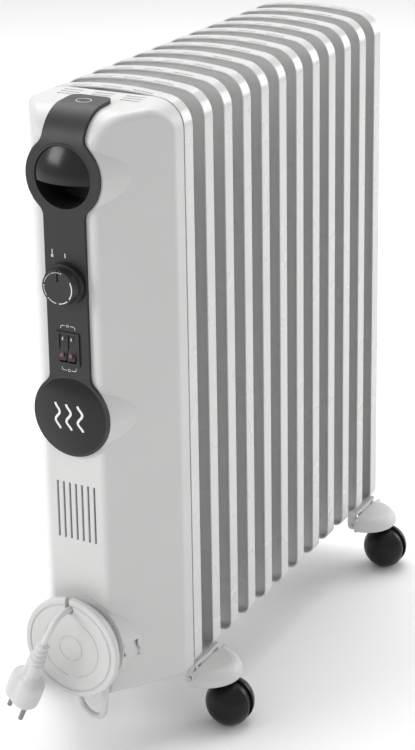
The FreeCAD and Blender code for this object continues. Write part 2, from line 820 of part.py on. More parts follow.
def make_bolt(name, middle):
    """Build one U-bolt that hangs over the lower header."""
    low = size("header_low")
    reach = 28.5
    left = Vector(-reach, middle, low)
    right = Vector(reach, middle, low)
    foot = size("fin_bottom") - 10
    path = Part.Wire([
        Part.LineSegment(Vector(-reach, middle, foot), left).toShape(),
        Part.Arc(left, Vector(0, middle, low + reach), right).toShape(),
        Part.LineSegment(right, Vector(reach, middle, foot)).toShape(),
    ])
    ring = Part.Wire(Part.makeCircle(3, Vector(-reach, middle, foot), Vector(0, 0, 1)))
    return coded(name, path.makePipeShell([ring], True, False))


def make_nut(name, x, middle):
    """Build one wing nut under a bracket."""
    top = size("fin_bottom") - 3
    hub = cylinder(name + "_hub", 5.5, 6, (x, middle, top - 6))
    wings = box(name + "_wings", [(x - 2, x + 2), (middle - 12, middle + 12), (top - 6, top - 1)])
    hole = cylinder(name + "_hole", 3, 12, (x, middle, top - 9))
    return cut(name, fuse(name + "_body", [hub, wings]), [hole])


def half_cap(name, x, side, middle):
    """Build a wing's domed half cap, flat on the side towards the fins."""
    radius = size("wing_radius")
    top = size("wing_top")
    thick = size("wing_thick")
    drop = 12
    bend = drop * (1 - math.sqrt(0.5))
    slim = drop - thick
    slim_bend = slim * (1 - math.sqrt(0.5))
    inner = radius - thick
    under = top - thick
    profile = [
        line((0, top), (radius - drop, top)),
        arc((radius - drop, top), (radius - bend, top - bend), (radius, top - drop)),
        line((radius, top - drop), (radius, top - drop - 2)),
        line((radius, top - drop - 2), (inner, top - drop - 2)),
        line((inner, top - drop - 2), (inner, top - drop)),
        arc((inner, top - drop), (inner - slim_bend, under - slim_bend), (inner - slim, under)),
        line((inner - slim, under), (0, under)),
        line((0, under), (0, top)),
    ]
    cap = turned_body(name + "_dome", profile)
    put(cap, (x, middle, 0))
    keep = sorted((x, x + side * 60))
    return common(name + "_half", [cap, box(name + "_keep", [keep, (middle - 60, middle + 60), (0, 100)])])


def make_wing(name, side, middle):
    """Build one folding wing: half cap, inner wall, hinge lugs and stem boss."""
    wall_x = side * size("fin_half_width")
    hinge = side * size("hinge_x")
    height = size("hinge_height")
    top = size("wing_top")
    cap = half_cap(name, wall_x, side, middle)
    across = sorted((wall_x, wall_x + side * 2.5))
    wall = box(name + "_wall", [across, (middle - 33, middle + 33), (48.5, top - 1)])
    parts = [cap, wall]
    for end in (-1, 1):
        low, high = sorted((middle + end * 14, middle + end * 20.4))
        tag = "%s_%d" % (name, end + 1)
        span = sorted((hinge, wall_x + side))
        parts.append(box(tag + "_lug", [span, (low, high), (height - 3.4, height + 4.5)]))
        parts.append(cylinder(tag + "_barrel", 4.5, high - low, (hinge, low, height), ALONG_Y))
    stem = side * size("stem_x")
    low = top - 13.7
    parts.append(cylinder(name + "_boss", 8, top - 1 - low, (stem, middle, low)))
    hinge_hole = "Sizes.hinge_pin + Sizes.running_gap"
    stem_hole = "Sizes.stem_radius + Sizes.running_gap"
    holes = [
        cylinder(name + "_hinge", hinge_hole, 60, (hinge, middle - 30, height), ALONG_Y),
        cylinder(name + "_stem", stem_hole, top - 4 - low + 1, (stem, middle, low - 1)),
    ]
    return cut(name + "_cut", fuse(name + "_body", parts), holes)


def make_castor(name, side, middle):
    """Build a castor's centre slab with its stem and axle stubs."""
    ball = size("ball_radius")
    stem = side * size("stem_x")
    centre = stem + side * size("castor_trail")
    top = size("wing_top") - 13.8
    slab = cylinder(name + "_slab", ball - 2, 7, (centre, middle - 3.5, ball), ALONG_Y)
    neck = box(name + "_neck", [(stem - 6, stem + 6), (middle - 3.5, middle + 3.5), (ball + 10, top)])
    boss = cylinder(name + "_seat", 7, top - 2 * ball - 0.4, (stem, middle, 2 * ball + 0.4))
    rod = cylinder(name + "_rod", "Sizes.stem_radius", top + 9.4 - 46, (stem, middle, 46))
    axle = cylinder(name + "_axle", 3.5, 36, (centre, middle - 18, ball), ALONG_Y)
    return fuse(name + "_body", [slab, neck, boss, rod, axle])


def make_wheel(name, side, middle, end):
    """Build one half-ball wheel with a blind bore."""
    ball = size("ball_radius")
    bore = 3.5 + size("running_gap")
    inner = 3.9
    tread = 6.0
    crest = ball * math.sqrt(0.5)
    profile = [
        line((bore, inner), (ball, inner)),
        line((ball, inner), (ball, tread)),
        arc((ball, tread), (crest + 0.6, crest + 0.6), (tread, ball - 0.3)),
        line((tread, ball - 0.3), (0, ball - 0.3)),
        line((0, ball - 0.3), (0, 18.3)),
        line((0, 18.3), (bore, 18.3)),
        line((bore, 18.3), (bore, inner)),
    ]
    wheel = turned_body(name + "_body", profile)
    centre = side * (size("stem_x") + size("castor_trail"))
    turn = Rotation(Vector(1, 0, 0), -90 * end)
    return put(wheel, (centre, middle, ball), turn)


def make_feet():
    """Build both brackets with their bolts, wings, castors and wheels."""
    bolts = []
    nuts = []
    pins = []
    rows = (("front", depth(size("foot_first"))), ("rear", depth(size("foot_second"))))
    for row, middle in rows:
        node("foot_bracket_" + row, make_bracket("bracket_" + row, middle))
        bolts.append(make_bolt("bolt_" + row, middle))
        for side, hand in ((-1, "left"), (1, "right")):
            tag = "%s_%s" % (row, hand)
            nuts.append(make_nut("nut_" + tag, side * 28.5, middle))
            place = (side * size("hinge_x"), middle - 26, size("hinge_height"))
            pins.append(cylinder("pin_" + tag, "Sizes.hinge_pin", 52, place, ALONG_Y))
            node("wing_" + tag, make_wing("wing_" + tag, side, middle))
            node("castor_" + tag, make_castor("castor_" + tag, side, middle))
            for end, face in ((-1, "a"), (1, "b")):
                name = "wheel_%s_%s" % (tag, face)
                node(name, make_wheel(name, side, middle, end))
    node("foot_bolts", group("bolts", bolts))
    node("foot_nuts", group("nuts", nuts))
    node("hinge_pins", group("pins", pins))


def make_inner_parts():
    """Build the heat shield, the cut-out and the terminal block inside the cover."""
    y = depth(-18)
    plate = box("shield_plate", [(-68, 68), (y, y + 1.2), (74, 600)])
    holes = [
        cylinder("shield_low", 28, 10, (0, y - 5, size("header_low")), ALONG_Y),
        cylinder("shield_high", 28, 10, (0, y - 5, size("header_high")), ALONG_Y),
    ]
    node("heat_shield", cut("shield", plate, holes))
    body = cylinder("cutout_can", 8, 9, (0, y - 9, 200), ALONG_Y)
    blade = box("cutout_blades", [(-6, 6), (y - 14, y - 8), (199.6, 200.4)])
    node("thermal_cutout", fuse("cutout", [body, blade]))
    block = box("terminal_body", [(-20, 20), (y - 12, y), (290, 306)])
    node("terminal_block", block)


def write_parts():
    """Check every object and every sub-part, then write each sub-part's file."""
    os.makedirs("parts", exist_ok=True)
    DOC.recompute()
    for item in DOC.Objects:
        if "Invalid" in item.State or "Error" in item.State:
            raise RuntimeError("%s failed: %s" % (item.Name, item.State))
    for name, item in NODES.items():
        shape = item.Shape
        if shape.isNull() or not shape.isValid() or not shape.Solids:
            raise RuntimeError("%s has no valid solid" % name)
        shape.exportStep("parts/%s.step" % name)
    print("%d sub-parts written" % len(NODES))


make_fins()
make_oil_circuit()
make_cover()
make_strip()
make_grip()
make_badge()
make_knob()
make_switches()
make_reel()
make_cord()
make_plug()
make_feet()
make_inner_parts()
write_parts()
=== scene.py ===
"""Looks of an oil filled radiator on ball castors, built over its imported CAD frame."""

import json
import logging
import math
from dataclasses import dataclass
from enum import Enum

import bpy
import numpy as np
from mathutils import Matrix, Vector


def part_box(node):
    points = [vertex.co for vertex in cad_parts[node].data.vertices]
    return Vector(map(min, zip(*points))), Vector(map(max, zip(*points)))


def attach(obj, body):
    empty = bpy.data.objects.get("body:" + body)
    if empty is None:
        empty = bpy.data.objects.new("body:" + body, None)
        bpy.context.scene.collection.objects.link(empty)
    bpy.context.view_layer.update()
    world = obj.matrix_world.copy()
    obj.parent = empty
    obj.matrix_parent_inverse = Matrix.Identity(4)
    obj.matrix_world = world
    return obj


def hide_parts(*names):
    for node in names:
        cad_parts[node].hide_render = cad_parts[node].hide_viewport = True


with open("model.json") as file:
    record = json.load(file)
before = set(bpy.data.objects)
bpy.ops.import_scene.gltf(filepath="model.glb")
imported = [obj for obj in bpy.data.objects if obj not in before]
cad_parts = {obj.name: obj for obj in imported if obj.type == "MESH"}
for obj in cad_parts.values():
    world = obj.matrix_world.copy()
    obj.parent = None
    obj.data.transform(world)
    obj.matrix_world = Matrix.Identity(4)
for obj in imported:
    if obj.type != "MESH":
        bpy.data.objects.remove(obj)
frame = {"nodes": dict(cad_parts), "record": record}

LOG = logging.getLogger("radiator")
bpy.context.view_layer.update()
MM = 0.001
FULL_TURN = 2.0 * math.pi
Point = tuple[float, float, float]
Colour = tuple[float, float, float]


class Body(Enum):
    """Names of the CAD bodies that new pieces ride on."""

    SHELL = "radiator"
    KNOB = "knob"
    ROCKER_LEFT = "rocker_left"
    ROCKER_RIGHT = "rocker_right"


class NodeKit:
    """Builds one procedural material, a node at a time."""

    def __init__(self, name: str) -> None:
        """Start a material that reads object coordinates.

        Args:
            name: The material's name.
        """
        self.material = bpy.data.materials.new(name)
        self.material.use_nodes = True
        self.tree = self.material.node_tree
        self.shader = self.tree.nodes["Principled BSDF"]
        self.coords = self.tree.nodes.new("ShaderNodeTexCoord").outputs["Object"]

    def link(self, source: bpy.types.NodeSocket, target: bpy.types.NodeSocket) -> None:
        """Join two sockets.

        Args:
            source: The output socket.
            target: The input socket.
        """
        self.tree.links.new(source, target)

    def noise(self, scale: float, detail: float, stretch: Point = (1.0, 1.0, 1.0)) -> bpy.types.NodeSocket:
        """Add a noise texture on object coordinates.

        Args:
            scale: Cells per metre.
            detail: Octaves.
            stretch: Scale along X, Y and Z before the noise.

        Returns:
            The noise's factor socket.
        """
        mapping = self.tree.nodes.new("ShaderNodeMapping")
        mapping.inputs["Scale"].default_value = stretch
        self.link(self.coords, mapping.inputs["Vector"])
        node = self.tree.nodes.new("ShaderNodeTexNoise")
        node.inputs["Scale"].default_value = scale
        node.inputs["Detail"].default_value = detail
        self.link(mapping.outputs["Vector"], node.inputs["Vector"])
        return node.outputs["Fac"]

    def ramp(self, source: bpy.types.NodeSocket, low: float, high: float) -> bpy.types.NodeSocket:
        """Map a factor to a value range.

        Args:
            source: A factor of 0 to 1.
            low: The value at 0.3.
            high: The value at 0.7.

        Returns:
            The mapped socket.
        """
        node = self.tree.nodes.new("ShaderNodeMapRange")
        node.inputs["From Min"].default_value = 0.3
        node.inputs["From Max"].default_value = 0.7
        node.inputs["To Min"].default_value = low
        node.inputs["To Max"].default_value = high
        self.link(source, node.inputs["Value"])
        return node.outputs["Result"]

    def blend(self, factor: bpy.types.NodeSocket, first: Colour, second: Colour) -> bpy.types.NodeSocket:
        """Mix two colours by a factor.

        Args:
            factor: The mixing socket.
            first: The colour at 0.
            second: The colour at 1.

        Returns:
            The mixed colour socket.
        """
        node = self.tree.nodes.new("ShaderNodeMix")
        node.data_type = "RGBA"
        node.inputs["A"].default_value = (*first, 1.0)
        node.inputs["B"].default_value = (*second, 1.0)
        self.link(factor, node.inputs["Factor"])
        return node.outputs["Result"]

    def bump(self, heights: list[tuple[bpy.types.NodeSocket, float]], edge: float = 0.0) -> None:
        """Stack bumps onto the shader's normal.

        Args:
            heights: Height sockets, each with its depth in metres.
            edge: Radius in metres of the softened edges.
        """
        normal = None
        if edge:
            bevel = self.tree.nodes.new("ShaderNodeBevel")
            bevel.samples = 4
            bevel.inputs["Radius"].default_value = edge
            normal = bevel.outputs["Normal"]
        for height, depth in heights:
            node = self.tree.nodes.new("ShaderNodeBump")
            node.inputs["Distance"].default_value = depth
            node.inputs["Strength"].default_value = 1.0
            self.link(height, node.inputs["Height"])
            if normal is not None:
                self.link(normal, node.inputs["Normal"])
            normal = node.outputs["Normal"]
        if normal is not None:
            self.link(normal, self.shader.inputs["Normal"])


@dataclass(frozen=True)
class Finish:
    """A surface finish: two close colours, a roughness band, a grain and a soft mottle."""

    name: str
    colour: Colour
    shade: Colour
    rough_low: float
    rough_high: float
    grain_scale: float
    grain_depth: float
    mottle_scale: float = 14.0
    wave_depth: float = 0.0
    metallic: float = 0.0
    coat: float = 0.0
    edge: float = 0.0
    specular: float = 0.5
    stretch: Point = (1.0, 1.0, 1.0)
    coat_roughness: float = 0.12
    wave_ratio: float = 2.5

    def make(self) -> bpy.types.Material:
        """Build the finish's material.

        Returns:
            The new material.
        """
        kit = NodeKit(self.name)
        mottle = kit.noise(self.mottle_scale, 4.0, self.stretch)
        grain = kit.noise(self.grain_scale, 3.0, self.stretch)
        kit.link(kit.blend(mottle, self.colour, self.shade), kit.shader.inputs["Base Color"])
        kit.link(kit.ramp(mottle, self.rough_low, self.rough_high), kit.shader.inputs["Roughness"])
        kit.shader.inputs["Metallic"].default_value = self.metallic
        kit.shader.inputs["Specular IOR Level"].default_value = self.specular
        kit.shader.inputs["Coat Weight"].default_value = self.coat
        kit.shader.inputs["Coat Roughness"].default_value = self.coat_roughness
        heights = [(grain, self.grain_depth)]
        if self.wave_depth:
            heights.append((kit.noise(self.mottle_scale * self.wave_ratio, 1.0), self.wave_depth))
        kit.bump(heights, self.edge)
        return kit.material


FINISHES = {
    "white_paint": Finish(
        "white_enamel", (0.64, 0.64, 0.635), (0.61, 0.61, 0.605), 0.24, 0.34,
        900.0, 0.00002, wave_depth=0.00004, coat=0.3, edge=0.0012,
    ),
    "white_plastic": Finish(
        "white_moulding", (0.61, 0.61, 0.605), (0.58, 0.58, 0.575), 0.34, 0.44,
        1500.0, 0.00003, edge=0.0015,
    ),
    "black_plastic": Finish(
        "black_moulding", (0.014, 0.014, 0.015), (0.022, 0.022, 0.023), 0.36, 0.48,
        1800.0, 0.00003, edge=0.0008, specular=0.42,
    ),
    "gloss_black": Finish(
        "black_gloss", (0.006, 0.006, 0.007), (0.010, 0.010, 0.011), 0.14, 0.24,
        700.0, 0.000006, coat=0.05, edge=0.0006, specular=0.32,
    ),
    "grey_plastic": Finish(
        "grey_moulding", (0.60, 0.60, 0.595), (0.56, 0.56, 0.555), 0.38, 0.50,
        1600.0, 0.00003, edge=0.0006,
    ),
    "castor_black": Finish(
        "castor_nylon", (0.004, 0.004, 0.005), (0.009, 0.009, 0.010), 0.24, 0.36,
        1300.0, 0.00002, wave_depth=0.0001, edge=0.0009, specular=0.25,
    ),
    "zinc_steel": Finish(
        "zinc_plate", (0.60, 0.61, 0.63), (0.48, 0.49, 0.52), 0.28, 0.44,
        420.0, 0.00003, metallic=1.0, edge=0.0005, stretch=(1.0, 6.0, 1.0),
    ),
    "cord_sheath": Finish(
        "cord_sheath", (0.62, 0.62, 0.615), (0.57, 0.57, 0.565), 0.40, 0.52,
        900.0, 0.00004, mottle_scale=60.0,
    ),
    "nickel": Finish(
        "nickel_pins", (0.30, 0.29, 0.28), (0.20, 0.20, 0.19), 0.22, 0.36,
        500.0, 0.00001, metallic=1.0, edge=0.0005, stretch=(1.0, 1.0, 8.0),
    ),
    "element_steel": Finish(
        "element_steel", (0.34, 0.30, 0.27), (0.24, 0.22, 0.22), 0.34, 0.52,
        300.0, 0.00004, metallic=1.0,
    ),
    "inner_plastic": Finish(
        "inner_moulding", (0.20, 0.17, 0.15), (0.16, 0.14, 0.12), 0.45, 0.60,
        1200.0, 0.00003, edge=0.0006,
    ),
    "ink": Finish(
        "panel_ink", (0.80, 0.80, 0.79), (0.72, 0.72, 0.71), 0.45, 0.60,
        2500.0, 0.00001, mottle_scale=300.0,
    ),
    # A grey a touch darker than the white moulding: painted shade along the lines that wear it, such as the
    # reel's relief arcs.
    "shadow_line": Finish(
        "painted_shade_line", (0.58, 0.58, 0.575), (0.53, 0.53, 0.525), 0.38, 0.48,
        1500.0, 0.00002,
    ),
    "lens": Finish(
        "rocker_lens", (0.20, 0.075, 0.065), (0.13, 0.05, 0.045), 0.12, 0.2,
        900.0, 0.00004, coat=0.6,
    ),
    "floor": Finish(
        "studio_floor", (0.93, 0.93, 0.93), (0.92, 0.92, 0.92), 0.7, 0.8,
        60.0, 0.00005, mottle_scale=2.0,
    ),
}


class Palette:
    """Makes each finish's material once."""

    def __init__(self) -> None:
        """Start with no materials."""
        self.made: dict[str, bpy.types.Material] = {}

    def get(self, key: str) -> bpy.types.Material:
        """Return a finish's material.

        Args:
            key: The finish's key, which is also its record slot where it has one.

        Returns:
            The material.
        """
        if key not in self.made:
            self.made[key] = FINISHES[key].make()
        return self.made[key]


def skin(name: str, rings: np.ndarray, smooth: bool = True) -> bpy.types.Object:
    """Close a stack of rings into one solid skin.

    The face between rings i and i+1 and spokes j and j+1 takes the points (i, j), (i, j+1), (i+1, j+1) and
    (i+1, j), and each end is closed by a fan to the mean of its ring.

    Args:
        name: The object's name.
        rings: Points of shape (rings, spokes, 3).
        smooth: Whether the faces are shaded smooth.

    Returns:
        The new object.
    """
    count, spokes = rings.shape[:2]
    ends = np.stack([rings[0].mean(axis=0), rings[-1].mean(axis=0)])
    points = np.concatenate([rings.reshape(-1, 3), ends])
    ring, spoke = np.meshgrid(np.arange(count - 1), np.arange(spokes), indexing="ij")
    following = (spoke + 1) % spokes
    near = ring * spokes
    far = near + spokes
    walls = np.stack([near + spoke, near + following, far + following, far + spoke], axis=-1).reshape(-1, 4)
    around = np.arange(spokes)
    after = (around + 1) % spokes
    first = np.full(spokes, count * spokes)
    last_row = (count - 1) * spokes
    low_cap = np.stack([after, around, first], axis=1)
    high_cap = np.stack([last_row + around, last_row + after, first + 1], axis=1)
    mesh = bpy.data.meshes.new(name)
    mesh.from_pydata(points.tolist(), [], walls.tolist() + low_cap.tolist() + high_cap.tolist())
    mesh.validate()
    mesh.polygons.foreach_set("use_smooth", np.full(len(mesh.polygons), smooth))
    mesh.update()
    item = bpy.data.objects.new(name, mesh)
    bpy.context.scene.collection.objects.link(item)
    return item


def section_rings(
    path: np.ndarray, across: np.ndarray, up: np.ndarray, half: np.ndarray, power: float, spokes: int
) -> np.ndarray:
    """Sweep a rounded section along a path.

    The section at angle a is across * w * sgn(cos a) |cos a|^(2/p) + up * h * sgn(sin a) |sin a|^(2/p).

    Args:
        path: Centres of shape (n, 3).
        across: Width directions of shape (n, 3).
        up: Height directions of shape (n, 3).
        half: Half widths and half heights of shape (n, 2).
        power: The section's squareness, 2 for an ellipse.
        spokes: Points round the section.

    Returns:
        Rings of shape (n, spokes, 3).
    """
    angle = np.linspace(0.0, FULL_TURN, spokes, endpoint=False)
    wide = np.sign(np.cos(angle)) * np.abs(np.cos(angle)) ** (2.0 / power)
    tall = np.sign(np.sin(angle)) * np.abs(np.sin(angle)) ** (2.0 / power)
    return (
        path[:, None, :]
        + across[:, None, :] * (half[:, :1] * wide[None, :])[..., None]
        + up[:, None, :] * (half[:, 1:] * tall[None, :])[..., None]
    )


def ribbon(name: str, path: np.ndarray, normal: np.ndarray, width: float, thick: float) -> bpy.types.Object:
    """Lay a thin raised line along a path.

    Args:
        name: The object's name.
        path: Centres of shape (n, 3).
        normal: The surface's outward directions of shape (n, 3).
        width: The line's width in metres.
        thick: The line's thickness in metres.

    Returns:
        The new object.
    """
    along = np.gradient(path, axis=0)
    along /= np.linalg.norm(along, axis=1)[:, None]
    across = np.cross(normal, along)
    across /= np.linalg.norm(across, axis=1)[:, None]
    half = np.tile([width / 2, thick / 2], (len(path), 1))
    rings = section_rings(path, across, normal, half, 4.0, 12)
    return skin(name, rings)


def face_arc(centre: Point, radius: float, start: float, end: float, count: int = 40) -> np.ndarray:
    """Return points of an arc that lies in a plane facing -Y.

    A point at angle a is centre + radius * (cos a, 0, sin a).

    Args:
        centre: The arc's centre.
        radius: Its radius.
        start: Its first angle in degrees.
        end: Its last angle in degrees.
        count: How many points it has.

    Returns:
        Points of shape (count, 3).
    """
    angle = np.radians(np.linspace(start, end, count))
    flat = np.stack([np.cos(angle), np.zeros(count), np.sin(angle)], axis=1)
    return np.array(centre) + radius * flat


def facing(count: int) -> np.ndarray:
    """Return -Y normals.

    Args:
        count: How many.

    Returns:
        Directions of shape (count, 3).
    """
    return np.tile([0.0, -1.0, 0.0], (count, 1))


@dataclass
class Pieces:
    """Puts finished objects on their bodies and logs them."""

    palette: Palette

    def add(self, item: bpy.types.Object, body: Body, key: str) -> bpy.types.Object:
        """Finish one piece.

        Args:
            item: The object.
            body: The body that it rides on.
            key: Its finish.

        Returns:
            The same object.
        """
        item.data.materials.clear()
        item.data.materials.append(self.palette.get(key))
        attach(item, body.value)
        LOG.info("piece %s on %s in %s", item.name, body.value, key)
        return item


@dataclass
class CadFinishes:
    """Gives every CAD node the material of its record slot."""

    palette: Palette

    def build(self) -> None:
        """Assign the materials by the record's sub-parts."""
        slots = {part["node"]: part["material_slot"] for part in frame["record"]["subparts"]}
        for name, item in frame["nodes"].items():
            material = self.palette.get(slots[name])
            for index in range(len(item.material_slots)):
                item.material_slots[index].link = "OBJECT"
                item.material_slots[index].material = material
            LOG.info("node %s in %s", name, slots[name])


@dataclass
class MainsLead:
    """The lead: a hanging loop, a double flat winding, and the free end with the plug."""

    pieces: Pieces
    diameter: float = 0.006
    outer_turn: float = 0.0423
    first_angle: float = -42.0
    last_angle: float = 78.0
    whole_turns: int = 5
    points_per_turn: int = 16
    row_change: float = 1.2
    back_row: float = -0.25605
    front_row: float = -0.26205
    loop_points: tuple = (
        (-0.010, -0.24325, 0.0605),
        (-0.010, -0.24325, 0.0485),
        (0.0005, -0.24575, 0.0385),
        (0.0155, -0.24975, 0.0385),
        (0.026, -0.25475, 0.050),
        (0.028, -0.25725, 0.068),
        (0.031, -0.25725, 0.0875),
    )
    lead_points: tuple = (
        (0.0, -0.26505, 0.1595),
        (0.0, -0.28525, 0.162),
        (-0.004, -0.29825, 0.152),
        (-0.0118, -0.29825, 0.1347),
    )

    def winding(self) -> np.ndarray:
        """Return the winding's points.

        The radius falls by one diameter a turn in the back row, then rises again in the front row:
        r = outer - diameter * (turns from the nearer end). The row changes by a smooth step about the middle.

        Returns:
            Points of shape (n, 3).
        """
        low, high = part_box("reel_disc")
        centre_z = (low.z + high.z) / 2
        start = math.radians(self.first_angle)
        total = FULL_TURN * self.whole_turns + math.radians(self.last_angle) - start
        count = int(total / FULL_TURN * self.points_per_turn) + 1
        turned = np.linspace(0.0, total, count)
        middle = total / 2.0
        radius = self.outer_turn - self.diameter * (middle - np.abs(turned - middle)) / FULL_TURN
        side = np.clip((turned - middle) / self.row_change + 0.5, 0.0, 1.0)
        row = self.back_row + (self.front_row - self.back_row) * side * side * (3.0 - 2.0 * side)
        angle = start + turned
        return np.stack([radius * np.cos(angle), row, centre_z + radius * np.sin(angle)], axis=1)

    def build(self) -> None:
        points = list(self.loop_points) + self.winding().tolist() + list(self.lead_points)
        data = bpy.data.curves.new("mains_lead", "CURVE")
        data.dimensions = "3D"
        data.bevel_depth = self.diameter / 2
        data.bevel_resolution = 5
        data.resolution_u = 8
        data.render_resolution_u = 8
        data.use_fill_caps = True
        spline = data.splines.new("NURBS")
        spline.points.add(len(points) - 1)
        for target, point in zip(spline.points, points):
            target.co = (*point, 1.0)
        spline.order_u = 3
        spline.use_endpoint_u = True
        item = bpy.data.objects.new("mains_lead", data)
        bpy.context.scene.collection.objects.link(item)
        self.pieces.add(item, Body.SHELL, "cord_sheath")
        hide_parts("cord_loop", "cord_coil", "cord_lead")
        plug = Plug(self.pieces).build()


@dataclass
class Plug:
    """The moulded plug: ribbed neck, grip and round head with side grooves."""

    pieces: Pieces
    start: tuple = (-0.0118, -0.29825, 0.1347)
    axis: tuple = (-0.41, 0.0, -0.912)
    stations: tuple = (
        (0.0, 3.6, 3.6),
        (1.0, 4.2, 4.2),
        (22.0, 6.6, 6.2),
        (24.0, 8.8, 7.2),
        (30.0, 9.0, 7.4),
        (38.0, 9.2, 7.6),
        (41.0, 12.0, 9.6),
        (44.0, 16.4, 12.6),
        (47.0, 18.0, 14.0),
        (55.0, 18.2, 14.2),
        (67.0, 18.0, 14.0),
        (69.4, 17.4, 13.4),
        (70.0, 16.4, 12.4),
    )
    spin: float = 20.0
    spokes: int = 96
    squareness: float = 2.35
    rib_pitch: float = 5.6
    rib_end: float = 22.4
    rib_height: float = 1.7
    groove_stations: tuple = ((26.0, 0.0), (29.0, 1.2), (66.0, 1.2), (70.0, 0.6))

    def build(self) -> bpy.types.Object:
        """Sweep the plug's outline along its axis.

        The half sizes come from the stations by linear steps. The neck's ribs add the rib height times half of
        one minus a cosine that is squared off by a root. Both broad sides of the head are cut by a groove of
        the groove's depth times |sin(angle)|^50.

        Returns:
            The plug's object.
        """
        table = np.array(self.stations)
        along = np.linspace(0.0, table[-1, 0], 141)
        wide = np.interp(along, table[:, 0], table[:, 1])
        deep = np.interp(along, table[:, 0], table[:, 2])
        wave = np.cos(FULL_TURN * along / self.rib_pitch)
        crest = self.rib_height / 2 * (1.0 - np.sign(wave) * np.abs(wave) ** 0.4)
        ribs = np.where(along < self.rib_end, crest, 0.0)
        axis = np.array(self.axis) / np.linalg.norm(self.axis)
        base = Vector((0, 0, 1)).rotation_difference(Vector(axis)).to_matrix()
        turn = np.array(base @ Matrix.Rotation(math.radians(self.spin), 3, "Z"))
        across = np.tile(turn @ np.array([1.0, 0.0, 0.0]), (len(along), 1))
        up = np.tile(turn @ np.array([0.0, 1.0, 0.0]), (len(along), 1))
        path = np.array(self.start) + np.outer(along * MM, axis)
        half = np.stack([wide + ribs, deep + ribs], axis=1) * MM
        rings = section_rings(path, across, up, half, self.squareness, self.spokes)
        angle = np.linspace(0.0, FULL_TURN, self.spokes, endpoint=False)
        groove = np.sign(np.sin(angle)) * np.abs(np.sin(angle)) ** 50
        cuts = np.array(self.groove_stations)
        cut = np.interp(along, cuts[:, 0], cuts[:, 1])
        rings -= up[:, None, :] * (cut[:, None] * groove[None, :] * MM)[..., None]
        item = skin("mains_plug", rings)
        self.pieces.add(item, Body.SHELL, "grey_plastic")
        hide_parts("plug_body")
        return item


@dataclass
class PanelMarks:
    """Printed marks on the control strip: arcs, ticks and plain strokes, with no lettering."""

    pieces: Pieces
    lift: float = 0.0001
    fine: float = 0.0005
    bold: float = 0.0009
    mark_x: float = -0.0135
    bracket_gap: float = 0.006
    bracket_inner: float = 0.0025
    bracket_outer: float = 0.0075
    bracket_hook: float = 0.003

    def stroke(self, name: str, path: np.ndarray, width: float) -> None:
        """Print one line on the strip.

        Args:
            name: The line's name.
            path: Its points.
            width: Its width.
        """
        item = ribbon(name, path, facing(len(path)), width, 2 * self.lift)
        self.pieces.add(item, Body.SHELL, "ink")

    def upright(self, name: str, x: float, low: float, high: float, width: float) -> None:
        """Print one upright tick.

        Args:
            name: The tick's name.
            x: Its place across the strip.
            low: Its lower end above the knob.
            high: Its upper end above the knob.
            width: Its width.
        """
        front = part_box("control_strip")[0].y
        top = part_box("thermostat_knob")[1].z
        self.stroke(name, np.linspace((x, front, top + low), (x, front, top + high), 4), width)

    def bracket(self, name: str, level: float, hook: float) -> None:
        """Print one pair of bracket strokes with a small ring between them.

        Args:
            name: The pair's name.
            level: Its height above the floor.
            hook: The rise of its hooked ends.
        """
        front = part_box("control_strip")[0].y
        for side in (-1, 1):
            edge = side * self.bracket_outer
            points = np.array([
                (side * self.bracket_inner, front, level),
                (edge - side * 0.001, front, level),
                (edge, front, level + hook * 0.35),
                (edge, front, level + hook),
            ])
            self.stroke("bracket_%s_%d" % (name, side + 1), points, self.fine)
        self.stroke("bracket_ring_" + name, face_arc((0.0, front, level), 0.0011, 0, 359, 20), 0.0004)

    def build(self) -> None:
        """Print the index tick, the level mark and the switch brackets."""
        self.upright("index_tick", 0.0, 0.004, 0.0085, self.bold)
        self.upright("level_stem", self.mark_x, 0.006, 0.011, 0.0008)
        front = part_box("control_strip")[0].y
        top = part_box("thermostat_knob")[1].z
        bulb = face_arc((self.mark_x, front, top + 0.0048), 0.0009, 0, 359, 16)
        self.stroke("level_bulb", bulb, self.bold)
        low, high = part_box("switch_housing")
        self.bracket("upper", high.z + self.bracket_gap, -self.bracket_hook)
        self.bracket("lower", low.z - self.bracket_gap, self.bracket_hook)


@dataclass
class KnobMarks:
    """Printed ring of graduated arcs and ticks on the knob's face."""

    pieces: Pieces
    radius: float = 0.0146
    thick: float = 0.0002
    tick_half: float = 0.0008
    tick_width: float = 0.0005
    tick_angles: tuple = (75, 125, 175, 225, 275, 325, 375)
    arcs: tuple = (
        ("least", 78, 118, 0.0004),
        ("weak", 130, 165, 0.0004),
        ("mild", 177, 215, 0.0005),
        ("mid", 228, 262, 0.0006),
        ("strong", 275, 312, 0.0008),
        ("full", 325, 388, 0.001),
    )

    def build(self) -> None:
        """Print the arcs and the ticks."""
        low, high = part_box("thermostat_knob")
        centre = ((low.x + high.x) / 2, low.y, (low.z + high.z) / 2)
        for name, start, end, width in self.arcs:
            path = face_arc(centre, self.radius, start, end)
            item = ribbon("dial_arc_" + name, path, facing(len(path)), width, self.thick)
            self.pieces.add(item, Body.KNOB, "ink")
        reach = np.linspace(self.radius - self.tick_half, self.radius + self.tick_half, 4)
        for index, angle in enumerate(self.tick_angles):
            ray = np.array([math.cos(math.radians(angle)), 0.0, math.sin(math.radians(angle))])
            path = np.array(centre) + np.outer(reach, ray)
            item = ribbon("dial_tick_%d" % index, path, facing(4), self.tick_width, self.thick)
            self.pieces.add(item, Body.KNOB, "ink")


